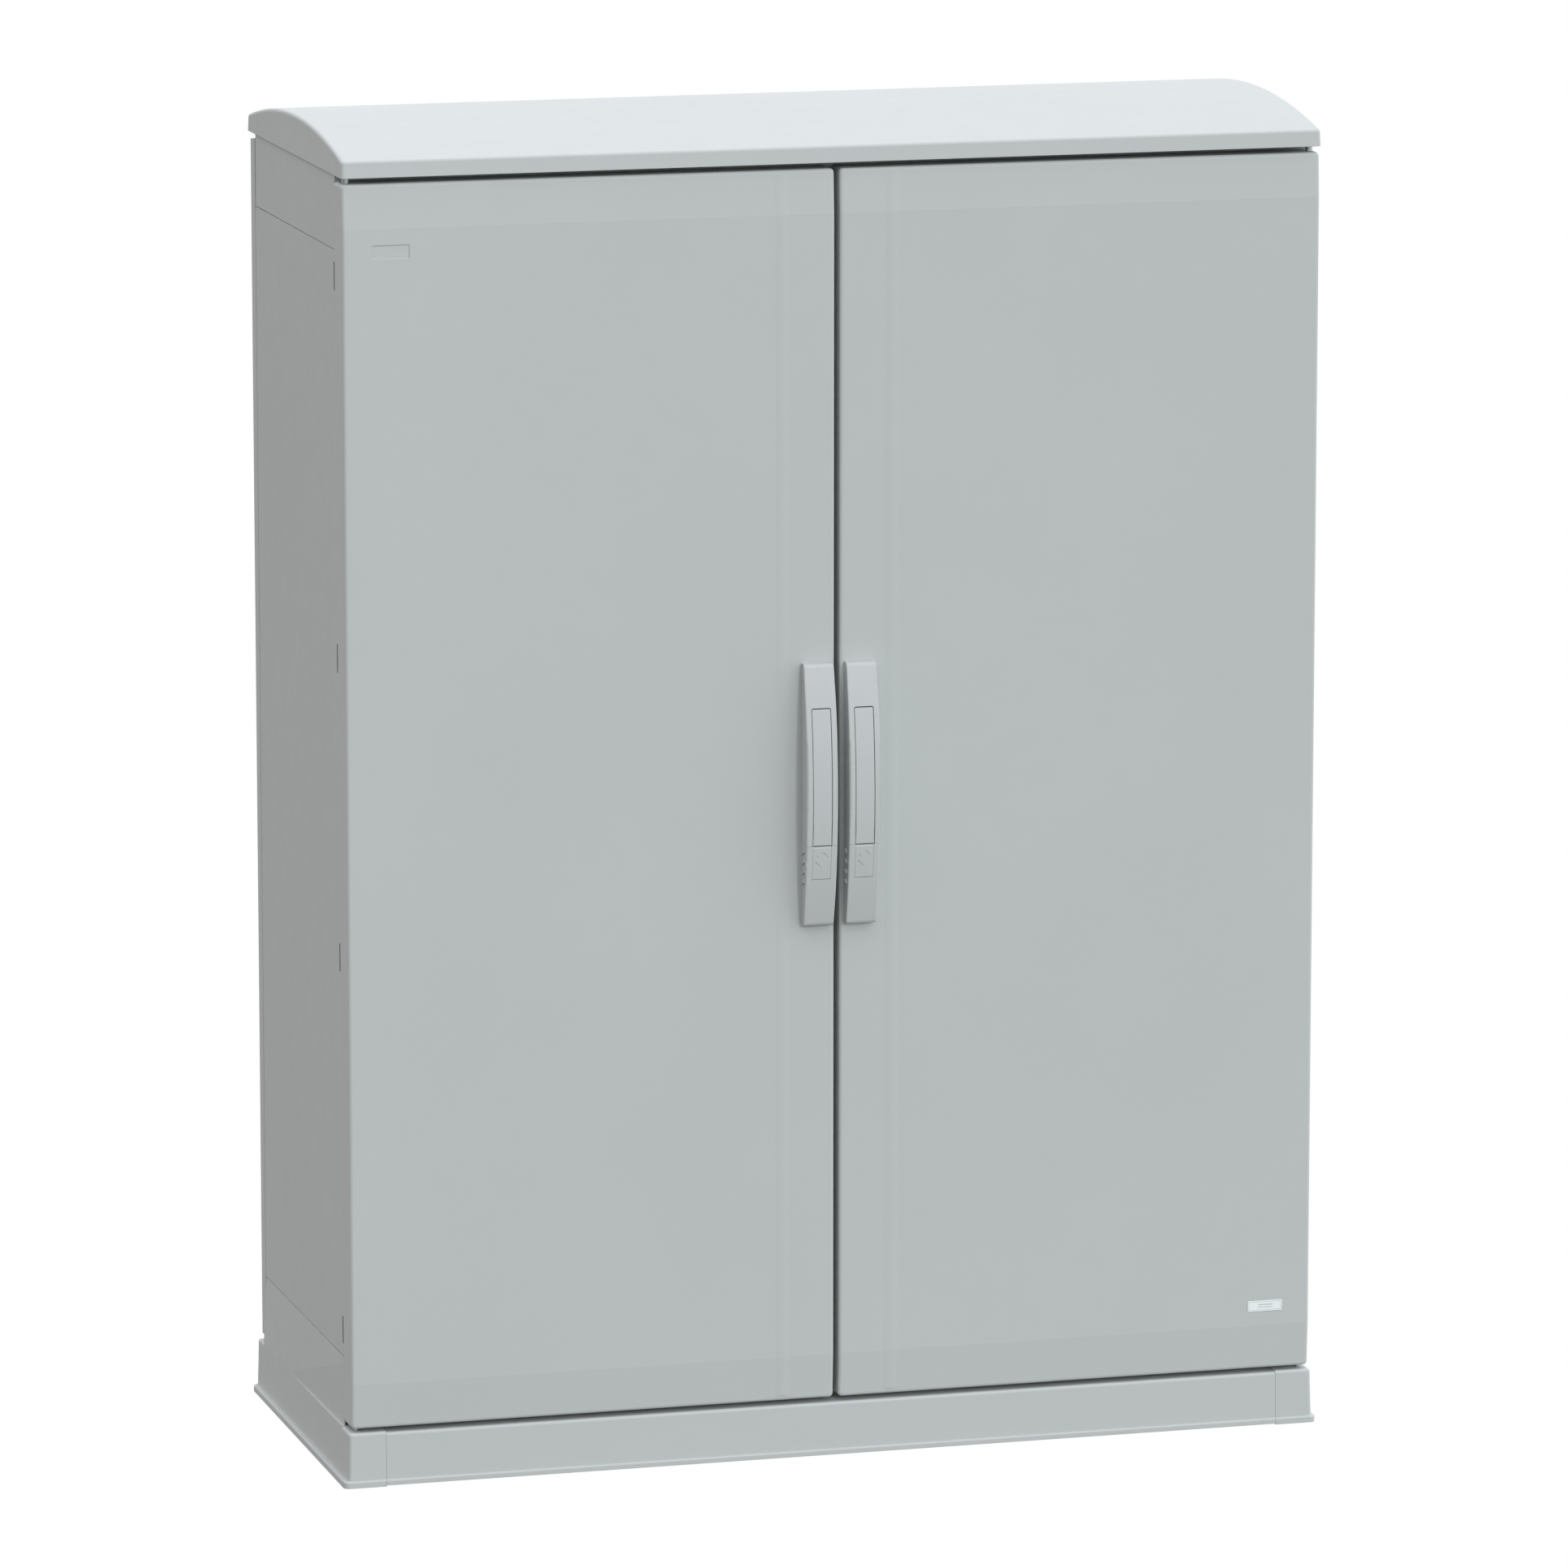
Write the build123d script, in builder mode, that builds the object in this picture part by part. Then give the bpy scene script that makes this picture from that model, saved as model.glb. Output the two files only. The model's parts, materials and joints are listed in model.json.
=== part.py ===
"""Two-door floor-standing polyester switchboard cabinet with plinth and rain canopy.

Frame: millimetres, +Z up, origin at the centre of the four floor anchor holes, on the floor.
The doors face -Y.  yd(d) turns a depth behind the doors' front face into a Y coordinate.
"""
import math
import os

from build123d import *

os.makedirs("parts", exist_ok=True)

# ---------------------------------------------------------------- driving dimensions
HALF_DEPTH = 209.0          # doors' front face to the middle of the plinth
HALF_W = 500.0              # half of the body's width
DOOR_T = 33.5               # depth of the door trays
DOOR_HALF = 501.0           # outer edge of the doors
DOOR_CORNER, DOOR_RIM = 4.0, 3.3    # corner radius in front view, rounding of the front edges
DOOR_Z0, DOOR_Z1 = 59.6, 1305.2
DOOR_GAP_HALF = 2.7         # half of the gap between the two doors
SKIN = 3.5                  # door skin
WALL = 3.0                  # door side walls
SHELL = 4.0                 # moulded body panels
FRAME_Y = 36.0              # depth of the frame's sealing face
SIDE_END = 393.2            # depth at which the side panels end
SEAM_LOW, SEAM_HIGH = 126.0, 1237.5
ROOF_TOP = 1310.6
PLINTH_H = 55.5
PLINTH_T = 5.0
COVER_H = 54.5              # the removable covers lie a little lower than the ends
FLANGE_H = 7.0
COVER_HALF = 466.0          # half width of the plinth's removable covers
CANOPY_Z0, CANOPY_EDGE, CANOPY_TOP = 1311.4, 1328.0, 1351.0
LIP_Z0, LIP_Z1 = 108.5, 1258.5      # clear height of the door opening
LIP_X = 462.0               # clear half width of the door opening
HINGE_X, HINGE_D = 494.0, 15.0      # door pivots
PIN_R, BUSH_BORE_R, BUSH_R = 2.65, 2.7, 4.2
BAND_LOW, BAND_HIGH, BAND_SET = 45.4, 44.2, 2.4   # sloping bands of the door faces
BEAD_X, BEAD_HALF, BEAD_H = 56.5, 7.0, 0.5        # vertical bead beside the handles
HANDLE_X, HANDLE_HALF_W = 22.0, 16.0
HANDLE_ZC, HANDLE_HALF_L = 679.9, 132.6
HANDLE_BOW, HANDLE_R = 26.5, 556.0
SPLIT_Z = 631.1             # joint between the handle's two housings
LEVER_HALF_W, LEVER_Z1, LEVER_T = 9.6, 768.3, 8.0
PIVOT_Z, PIVOT_Y = 762.3, -225.0
FLAP_HALF_W, FLAP_Z0 = 9.4, 597.0
FLAP_AXIS_Z, FLAP_AXIS_Y = 628.9, -231.1
LOCK_Z, LOCK_R = 611.0, 5.5
ROD_X0, ROD_X1, ROD_D0, ROD_D1 = 30.0, 42.0, 45.0, 49.0
POST_HALF = 15.0
PLATE_D = 376.0             # depth of the mounting plate
ANCHOR_X, ANCHOR_Y, ANCHOR_R = 450.0, 170.0, 6.0


def yd(depth):
    """Y of a point that lies this deep behind the doors' front face."""
    return depth - HALF_DEPTH


def block(x0, x1, y0, y1, z0, z1, mode=Mode.ADD):
    """Axis-aligned block between two corners, added to the part that is being built."""
    with Locations(((x0 + x1) / 2, (y0 + y1) / 2, (z0 + z1) / 2)):
        Box(abs(x1 - x0), abs(y1 - y0), abs(z1 - z0), mode=mode)


def rod_z(x, y, z0, z1, r, mode=Mode.ADD):
    with Locations((x, y, (z0 + z1) / 2)):
        Cylinder(r, abs(z1 - z0), mode=mode)


def rod_y(x, z, y0, y1, r, mode=Mode.ADD):
    with Locations(Location((x, (y0 + y1) / 2, z), (90, 0, 0))):
        Cylinder(r, abs(y1 - y0), mode=mode)


def rod_x(y, z, x0, x1, r, mode=Mode.ADD):
    with Locations(Location(((x0 + x1) / 2, y, z), (0, 90, 0))):
        Cylinder(r, abs(x1 - x0), mode=mode)


def write(part, name):
    part.label = name
    export_step(part, f"parts/{name}.step")


# ---------------------------------------------------------------- plinth
WALL_BASE, WALL_TOP = 505.0, 503.6      # half width of the wall at the floor and at the ends' top


def wall_x(z):
    """Half width of the drafted wall at height z."""
    return WALL_BASE - (WALL_BASE - WALL_TOP) * z / PLINTH_H


# Foot flange that runs round the wall.
with BuildPart() as plinth_flange:
    with BuildSketch(Plane.XY):
        RectangleRounded(2 * 509.3, 2 * 211.0, 6)
    extrude(amount=FLANGE_H)
    fillet(faces().sort_by(Axis.Z)[-1].outer_wire().edges(), 2.0)


def plinth_ring(top):
    """Hollow drafted box with a rounded top edge, standing on a foot flange that runs round it."""
    draft_y = 209.8 - 1.4 * top / PLINTH_H
    with BuildPart() as p:
        with BuildSketch(Plane.XY):
            RectangleRounded(2 * WALL_BASE, 2 * 209.8, 3.2)
        with BuildSketch(Plane.XY.offset(top)):
            RectangleRounded(2 * wall_x(top), 2 * draft_y, 3.2)
        loft(ruled=True)
        fillet(faces().sort_by(Axis.Z)[-1].outer_wire().edges(), 2.8)
        add(plinth_flange.part)
        with BuildSketch(Plane.XY.offset(-1)):
            RectangleRounded(2 * (WALL_BASE - PLINTH_T), 2 * (209.8 - PLINTH_T), 2)
        with BuildSketch(Plane.XY.offset(top - SHELL)):
            RectangleRounded(2 * (wall_x(top) - PLINTH_T), 2 * (draft_y - PLINTH_T), 2)
        loft(ruled=True, mode=Mode.SUBTRACT)
    return p.part


def plinth_end(s):
    """Moulded end of the plinth with its wrapped corners, feet and the skirt up to the side panel's seam."""
    with BuildPart() as p:
        add(plinth_ring(PLINTH_H))
        block(s * (COVER_HALF + 0.08), s * 520, -230, 230, -5, 80, mode=Mode.INTERSECT)
        # skirt, in line with the plinth's drafted side
        with BuildSketch(Plane.XZ.offset(-yd(FRAME_Y))):
            with BuildLine():
                Polyline(
                    (s * wall_x(PLINTH_H - 6), PLINTH_H - 6),
                    (s * WALL_TOP, PLINTH_H),
                    (s * 500.1, SEAM_LOW - 0.3),
                    (s * 496.1, SEAM_LOW - 0.3),
                    (s * 499.2, PLINTH_H),
                    (s * 499.2, PLINTH_H - 6),
                    close=True,
                )
            make_face()
        extrude(amount=-(391.0 - FRAME_Y))
        # the flare dies out towards the skirt's front edge, which is in line with the door
        with BuildSketch(Plane.XY.offset(PLINTH_H)):
            with BuildLine():
                Polyline(
                    (s * 500.3, yd(FRAME_Y) - 2),
                    (s * 500.4, yd(FRAME_Y)),
                    (s * 504.4, 120),
                    (s * 512, 120),
                    (s * 512, yd(FRAME_Y) - 2),
                    close=True,
                )
            make_face()
        extrude(amount=SEAM_LOW - PLINTH_H + 2, mode=Mode.SUBTRACT)
        # sealing rim between the sill and the side panel
        block(s * 500.0, s * LIP_X, yd(FRAME_Y), yd(FRAME_Y + SHELL), LIP_Z0 + 0.3, SEAM_LOW - 0.3)
        # feet with the floor anchor holes
        for sy in (-1, 1):
            block(s * 428, s * 499.6, sy * 140, sy * 204.0, 0, 6)
            rod_z(s * ANCHOR_X, sy * ANCHOR_Y, -1, 7, ANCHOR_R, mode=Mode.SUBTRACT)
        # lower hinge pin passes through the top ledge
        rod_z(s * HINGE_X, yd(HINGE_D), 45, 60, 3.0, mode=Mode.SUBTRACT)
        for dy in (-176.5, -166.5):
            rod_z(s * 480, dy, 45, 60, 2.0, mode=Mode.SUBTRACT)
        # screw holes for the covers' tabs
        for sy in (-1, 1):
            rod_z(s * 452, sy * 196, -1, 7, 2.0, mode=Mode.SUBTRACT)
    return p.part


write(plinth_end(-1), "plinth_left_end")
write(plinth_end(1), "plinth_right_end")


def plinth_cover(s):
    """Removable cover between the plinth's ends; s is -1 at the front and 1 at the rear."""
    with BuildPart() as p:
        add(plinth_ring(COVER_H))
        # the top ledge reaches back under the base tray
        block(-(COVER_HALF - 0.08), COVER_HALF - 0.08, s * 165.0, s * 230, 1.0, 80, mode=Mode.INTERSECT)
        # inner tabs that lie on the feet, and a stiffening rib
        for sx in (-1, 1):
            block(sx * 440, sx * 464, s * 190, s * 205.0, 6.0, 9.0)
            rod_z(sx * 452, s * 196, 5, 10, 2.2, mode=Mode.SUBTRACT)
        block(-420, 420, s * 199, s * 205.0, 26, 29)
    return p.part


write(plinth_cover(-1), "plinth_front_cover")
write(plinth_cover(1), "plinth_rear_cover")

with BuildPart() as plinth_cover_screws:
    for sx in (-1, 1):
        for sy in (-1, 1):
            rod_z(sx * 452, sy * 196, 9.0, 12.0, 4.0)
            rod_z(sx * 452, sy * 196, 1.0, 9.0, 2.0)
write(plinth_cover_screws.part, "plinth_cover_screws")

# ---------------------------------------------------------------- base tray and gland plate
GLAND_X, GLAND_D0, GLAND_D1 = 400.0, 110.0, 310.0
GLAND_SCREWS = [(sx * gx, gd) for sx in (-1, 1) for gx, gd in ((390, 116), (390, 210), (390, 304), (200, 116), (200, 304))]
with BuildPart() as base_tray:
    zf = PLINTH_H
    block(-496, 496, yd(FRAME_Y), yd(391), zf, zf + SHELL)
    block(-496, 496, yd(FRAME_Y), yd(FRAME_Y + SHELL), zf, LIP_Z0)
    block(-496, 496, yd(387), yd(391), zf, LIP_Z0)
    for s in (-1, 1):
        block(s * 492, s * 496, yd(FRAME_Y), yd(391), zf, LIP_Z0)
    # inward lip on top of the front sill
    block(-492, 492, yd(FRAME_Y), yd(FRAME_Y + 12), LIP_Z0 - 3, LIP_Z0)
    # slots in the lip for the lock rods
    for s in (-1, 1):
        block(s * 27, s * 45, yd(ROD_D0 - 1), yd(FRAME_Y + 13), LIP_Z0 - 4, LIP_Z0 + 1, mode=Mode.SUBTRACT)
    # cable opening
    block(-378, 378, yd(128), yd(292), zf - 1, zf + 6, mode=Mode.SUBTRACT)
    for gx, gd in GLAND_SCREWS:
        rod_z(gx, yd(gd), zf - 1, zf + 6, 2.0, mode=Mode.SUBTRACT)
write(base_tray.part, "base_tray")

GZ = PLINTH_H + SHELL
with BuildPart() as gland_plate_gasket:
    block(-GLAND_X + 1, GLAND_X - 1, yd(GLAND_D0 + 1), yd(GLAND_D1 - 1), GZ, GZ + 3)
    block(-GLAND_X + 17, GLAND_X - 17, yd(GLAND_D0 + 13), yd(GLAND_D1 - 13), GZ - 1, GZ + 4, mode=Mode.SUBTRACT)
    for gx, gd in GLAND_SCREWS:
        rod_z(gx, yd(gd), GZ - 1, GZ + 4, 2.2, mode=Mode.SUBTRACT)
write(gland_plate_gasket.part, "gland_plate_gasket")

with BuildPart() as gland_plate:
    block(-GLAND_X, GLAND_X, yd(GLAND_D0), yd(GLAND_D1), GZ + 3, GZ + 6)
    fillet(edges().filter_by(Axis.Z), 6)
    for gx, gd in GLAND_SCREWS:
        rod_z(gx, yd(gd), GZ + 2, GZ + 7, 2.2, mode=Mode.SUBTRACT)
write(gland_plate.part, "gland_plate")

with BuildPart() as gland_plate_screws:
    for gx, gd in GLAND_SCREWS:
        rod_z(gx, yd(gd), GZ + 6, GZ + 9, 4.2)
        rod_z(gx, yd(gd), PLINTH_H - 4, GZ + 6, 2.0)
write(gland_plate_screws.part, "gland_plate_screws")

# ---------------------------------------------------------------- side panels
CLIP_Z = (152.7, 531.5, 832.0, 1211.0)
CLIP_HALF = 14.2
REAR_SCREW_Z = (180.0, 500.0, 860.0, 1180.0)


def side_panel(s):
    with BuildPart() as p:
        with BuildSketch(Plane.YZ.offset(s * HALF_W)):
            with Locations(((yd(FRAME_Y) + yd(SIDE_END)) / 2, (SEAM_LOW + SEAM_HIGH) / 2)):
                RectangleRounded(SIDE_END - FRAME_Y, SEAM_HIGH - SEAM_LOW - 1.0, 3.5)
        extrude(amount=-s * SHELL)
        # front and rear flanges, and the short joining flanges at both seams
        block(s * 499.0, s * LIP_X, yd(FRAME_Y), yd(FRAME_Y + SHELL), SEAM_LOW + 4.0, SEAM_HIGH - 4.0)
        block(s * 498.5, s * LIP_X, yd(FRAME_Y), yd(FRAME_Y + SHELL), SEAM_LOW + 0.5, SEAM_HIGH - 0.5)
        block(s * 498.5, s * 478, yd(SIDE_END - SHELL), yd(SIDE_END), SEAM_LOW + 0.5, SEAM_HIGH - 0.5)
        for z0, z1 in ((SEAM_LOW + 0.5, SEAM_LOW + 3.5), (SEAM_HIGH - 3.5, SEAM_HIGH - 0.5)):
            block(s * 498, s * 482, yd(FRAME_Y + 2), yd(SIDE_END - 2), z0, z1)
        # recesses for the clips in the front edge
        for z in CLIP_Z:
            block(s * 501, s * 496.4, yd(FRAME_Y - 1), yd(42.4), z - CLIP_HALF, z + CLIP_HALF, mode=Mode.SUBTRACT)
        for z in REAR_SCREW_Z:
            rod_y(s * 487, z, yd(380), yd(400), 2.7, mode=Mode.SUBTRACT)
    return p.part


write(side_panel(-1), "left_side_panel")
write(side_panel(1), "right_side_panel")

with BuildPart() as side_panel_clips:
    for s in (-1, 1):
        for z in CLIP_Z:
            block(s * 499.4, s * 496.4, yd(FRAME_Y + 1.2), yd(42.2), z - CLIP_HALF + 0.3, z + CLIP_HALF - 0.3)
write(side_panel_clips.part, "side_panel_clips")

# ---------------------------------------------------------------- roof frame
CANOPY_SCREWS = [(sx * 420.0, d) for sx in (-1, 1) for d in (95.0, 325.0)]
with BuildPart() as roof_frame:
    block(-HALF_W, HALF_W, yd(FRAME_Y), yd(391), ROOF_TOP - SHELL, ROOF_TOP)
    for s in (-1, 1):
        block(s * 496, s * HALF_W, yd(FRAME_Y), yd(391), SEAM_HIGH + 0.3, ROOF_TOP)
        block(s * LIP_X, s * HALF_W, yd(FRAME_Y), yd(FRAME_Y + SHELL), SEAM_HIGH + 0.3, ROOF_TOP)
    block(-HALF_W, HALF_W, yd(FRAME_Y), yd(FRAME_Y + SHELL), LIP_Z1, ROOF_TOP)
    block(-492, 492, yd(FRAME_Y), yd(FRAME_Y + 12), LIP_Z1, LIP_Z1 + 3)
    block(-HALF_W, HALF_W, yd(387), yd(391), LIP_Z1, ROOF_TOP)
    for s in (-1, 1):
        block(s * 27, s * 45, yd(ROD_D0 - 1), yd(FRAME_Y + 13), LIP_Z1 - 1, LIP_Z1 + 4, mode=Mode.SUBTRACT)
    for cx, cd in CANOPY_SCREWS:
        rod_z(cx, yd(cd), ROOF_TOP - 10, ROOF_TOP + 1, 2.7, mode=Mode.SUBTRACT)
    for s in (-1, 1):
        for d in (42.5, 54.0):
            rod_z(s * 482, yd(d + 4), ROOF_TOP - 10, ROOF_TOP + 1, 2.0, mode=Mode.SUBTRACT)
write(roof_frame.part, "roof_frame")

# ---------------------------------------------------------------- rear panel
with BuildPart() as rear_panel:
    block(-500.2, 500.2, yd(393.8), yd(417.5), 62.5, 1304.0)
    fillet(faces().sort_by(Axis.Y)[-1].edges(), 6.0)
    block(-496.2, 496.2, yd(390), yd(413.5), 66.5, 1300.0, mode=Mode.SUBTRACT)
    # bosses for the edge screws
    for s in (-1, 1):
        for z in REAR_SCREW_Z:
            block(s * 480, s * 497, yd(SIDE_END + 0.1), yd(414), z - 8, z + 8)
            rod_y(s * 487, z, yd(390), yd(408), 2.5, mode=Mode.SUBTRACT)
    # stiffening ribs
    for z in (420.0, 683.0, 950.0):
        block(-496.3, 496.3, yd(402), yd(414), z - 2, z + 2)
write(rear_panel.part, "rear_panel")

with BuildPart() as rear_panel_screws:
    for s in (-1, 1):
        for z in REAR_SCREW_Z:
            rod_y(s * 487, z, yd(386.2), yd(SIDE_END - SHELL), 4.5)
            rod_y(s * 487, z, yd(SIDE_END - SHELL), yd(405), 2.5)
write(rear_panel_screws.part, "rear_panel_screws")


# ---------------------------------------------------------------- rain canopy
def canopy_body(inset, radius):
    """Arched body with drafted ends; inset shrinks it for the hollow inside."""
    front, back = -210.3 + inset, 211.0 - inset
    edge, top = CANOPY_EDGE - inset, CANOPY_TOP - inset
    low = CANOPY_Z0 - (0 if inset == 0 else 5)
    with BuildPart() as p:
        with BuildSketch(Plane.YZ.offset(-501.8 + inset)):
            with BuildLine():
                Polyline((front + 1.2, edge), (front, low), (back, low), (back - 1.2, edge))
                ThreePointArc((back - 1.2, edge), (0.35, top), (front + 1.2, edge))
            make_face()
        extrude(amount=2 * (501.8 - inset))
        for s in (-1, 1):
            split(
                bisect_by=Plane(origin=(s * (501.8 - inset), 0, CANOPY_Z0), z_dir=(s * 1.0, 0, 0.032)),
                keep=Keep.BOTTOM,
            )
        if inset == 0:
            corners = [e for e in edges() if abs(e.center().X) > 490 and abs(e.center().Y) > 200 and e.length < 20 and abs(e.center().Z - (low + edge) / 2) < 3]
            fillet(corners, 3.6)
        rim = edges().filter_by_position(Axis.Z, edge - 2, top + 1)
        fillet(rim, radius)
    return p.part


with BuildPart() as rain_canopy:
    add(canopy_body(0.0, 3.2))
    add(canopy_body(SHELL, 1.5), mode=Mode.SUBTRACT)
    for cx, cd in CANOPY_SCREWS:
        rod_z(cx, yd(cd), ROOF_TOP, 1341.0, 7.0)
        rod_z(cx, yd(cd), ROOF_TOP - 1, 1328.0, 2.5, mode=Mode.SUBTRACT)
write(rain_canopy.part, "rain_canopy")

with BuildPart() as canopy_screws:
    for cx, cd in CANOPY_SCREWS:
        rod_z(cx, yd(cd), ROOF_TOP - SHELL - 4, ROOF_TOP - SHELL, 5.0)
        rod_z(cx, yd(cd), ROOF_TOP - SHELL, 1325.0, 2.5)
write(canopy_screws.part, "canopy_screws")

# ---------------------------------------------------------------- centre post
with BuildPart() as centre_post:
    block(-POST_HALF, POST_HALF, yd(FRAME_Y), yd(FRAME_Y + 3), LIP_Z0 + 0.3, LIP_Z1 - 0.3)
    for s in (-1, 1):
        block(s * POST_HALF, s * (POST_HALF - 2.5), yd(FRAME_Y), yd(58), LIP_Z0 + 0.3, LIP_Z1 - 0.3)
        block(s * POST_HALF, s * (POST_HALF - 8), yd(55.5), yd(58), LIP_Z0 + 0.3, LIP_Z1 - 0.3)
    # end plates that lie on the sill's and the header's lips
    block(-POST_HALF, POST_HALF, yd(FRAME_Y + 3), yd(58), LIP_Z0 + 0.3, LIP_Z0 + 3.3)
    block(-POST_HALF, POST_HALF, yd(FRAME_Y + 3), yd(58), LIP_Z1 - 3.3, LIP_Z1 - 0.3)
    for z in (LIP_Z0 + 1.8, LIP_Z1 - 1.8):
        for sx in (-1, 1):
            rod_z(sx * 6, yd(44.5), z - 5, z + 5, 2.2, mode=Mode.SUBTRACT)
write(centre_post.part, "centre_post")

with BuildPart() as centre_post_screws:
    for sx in (-1, 1):
        rod_z(sx * 6, yd(44.5), LIP_Z0 + 3.3, LIP_Z0 + 5.8, 3.6)
        rod_z(sx * 6, yd(44.5), LIP_Z0, LIP_Z0 + 3.3, 2.0)
        rod_z(sx * 6, yd(44.5), LIP_Z1 - 5.8, LIP_Z1 - 3.3, 3.6)
        rod_z(sx * 6, yd(44.5), LIP_Z1 - 3.3, LIP_Z1, 2.0)
write(centre_post_screws.part, "centre_post_screws")

# ---------------------------------------------------------------- hinge hardware
with BuildPart() as hinge_brackets:
    for s in (-1, 1):
        block(s * 497.6, s * 474, yd(4.5), yd(64), ROOF_TOP + 0.2, ROOF_TOP + 3.2)
        rod_z(s * HINGE_X, yd(HINGE_D), ROOF_TOP - 1, ROOF_TOP + 5, PIN_R, mode=Mode.SUBTRACT)
        for d in (46.5, 58.0):
            rod_z(s * 482, yd(d), ROOF_TOP - 1, ROOF_TOP + 5, 2.2, mode=Mode.SUBTRACT)
        block(s * 497.6, s * 470, -201.0, -158, PLINTH_H - SHELL - 3, PLINTH_H - SHELL)
        rod_z(s * HINGE_X, yd(HINGE_D), 40, 56, PIN_R, mode=Mode.SUBTRACT)
        for dy in (-176.5, -166.5):
            rod_z(s * 480, dy, 40, 56, 2.2, mode=Mode.SUBTRACT)
write(hinge_brackets.part, "hinge_brackets")

with BuildPart() as hinge_pins:
    for s in (-1, 1):
        rod_z(s * HINGE_X, yd(HINGE_D), DOOR_Z1 - 15, ROOF_TOP + 3.2, PIN_R)
        rod_z(s * HINGE_X, yd(HINGE_D), PLINTH_H - SHELL - 3, DOOR_Z0 + 15, PIN_R)
        # shoulder of the upper pin
        rod_z(s * HINGE_X, yd(HINGE_D), DOOR_Z1 - 0.4, ROOF_TOP + 0.2, 3.6)
write(hinge_pins.part, "hinge_pins")

with BuildPart() as hinge_bracket_screws:
    for s in (-1, 1):
        for d in (46.5, 58.0):
            rod_z(s * 482, yd(d), ROOF_TOP + 3.2, ROOF_TOP + 5.7, 4.0)
            rod_z(s * 482, yd(d), ROOF_TOP - 6, ROOF_TOP + 3.2, 2.0)
        for dy in (-176.5, -166.5):
            rod_z(s * 480, dy, PLINTH_H - SHELL - 5.5, PLINTH_H - SHELL - 3, 4.0)
            rod_z(s * 480, dy, PLINTH_H - SHELL - 3, PLINTH_H, 2.0)
write(hinge_bracket_screws.part, "hinge_bracket_screws")

# keepers behind the header and the sill, one for each lock rod
with BuildPart() as rod_keepers:
    for s in (-1, 1):
        block(s * 24, s * 48, yd(FRAME_Y + SHELL), yd(ROD_D0 - 0.4), LIP_Z1 + 3, LIP_Z1 + 30)
        block(s * 24, s * 48, yd(FRAME_Y + SHELL), yd(ROD_D0 - 0.4), LIP_Z0 - 30, LIP_Z0 - 3)
write(rod_keepers.part, "rod_keepers")

# ---------------------------------------------------------------- mounting plate
PLATE_X, PLATE_Z0, PLATE_Z1 = 430.0, 150.0, 1220.0
PLATE_FIX = [(sx * 400.0, z) for sx in (-1, 1) for z in (190.0, 1180.0)]
with BuildPart() as mounting_plate:
    block(-PLATE_X, PLATE_X, yd(PLATE_D), yd(PLATE_D + 2.5), PLATE_Z0, PLATE_Z1)
    for s in (-1, 1):
        block(s * PLATE_X, s * (PLATE_X - 2.5), yd(PLATE_D), yd(PLATE_D + 13), PLATE_Z0, PLATE_Z1)
    block(-PLATE_X, PLATE_X, yd(PLATE_D), yd(PLATE_D + 13), PLATE_Z1 - 2.5, PLATE_Z1)
    block(-PLATE_X, PLATE_X, yd(PLATE_D), yd(PLATE_D + 13), PLATE_Z0, PLATE_Z0 + 2.5)
    for px, pz in PLATE_FIX:
        rod_y(px, pz, yd(PLATE_D - 2), yd(PLATE_D + 4), 4.5, mode=Mode.SUBTRACT)
write(mounting_plate.part, "mounting_plate")

with BuildPart() as mounting_plate_spacers:
    for px, pz in PLATE_FIX:
        rod_y(px, pz, yd(PLATE_D + 2.5), yd(413.5), 9.0)
        rod_y(px, pz, yd(PLATE_D), yd(396), 4.0, mode=Mode.SUBTRACT)
write(mounting_plate_spacers.part, "mounting_plate_spacers")

with BuildPart() as mounting_plate_bolts:
    for px, pz in PLATE_FIX:
        with BuildSketch(Plane.XZ.offset(-yd(PLATE_D))):
            with Locations((px, pz)):
                RegularPolygon(7.5, 6)
        extrude(amount=5.5)
        rod_y(px, pz, yd(PLATE_D), yd(395), 4.0)
write(mounting_plate_bolts.part, "mounting_plate_bolts")


# ---------------------------------------------------------------- doors
GASKET_W = 8.0
G_X0, G_X1, G_Z0, G_Z1 = 6.0, 478.0, 85.5, 1281.5
RIB_X0, RIB_X1, RIB_Z0, RIB_Z1 = 14.2, 469.5, 94.0, 1273.0
HANDLE_SCREW_X, HANDLE_SCREW_Z = 24.0, (805.0, 659.0, 584.0, 559.0)
GUIDE_Z = (200.0, 520.0, 920.0, 1180.0)


def frame_ring(s, x0, x1, z0, z1, t, y0, y1):
    """Rectangular ring of wall thickness t in the XZ plane, between depths y0 and y1."""
    block(s * x0, s * x1, y0, y1, z0, z0 + t)
    block(s * x0, s * x1, y0, y1, z1 - t, z1)
    block(s * x0, s * (x0 + t), y0, y1, z0, z1)
    block(s * (x1 - t), s * x1, y0, y1, z0, z1)


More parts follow.
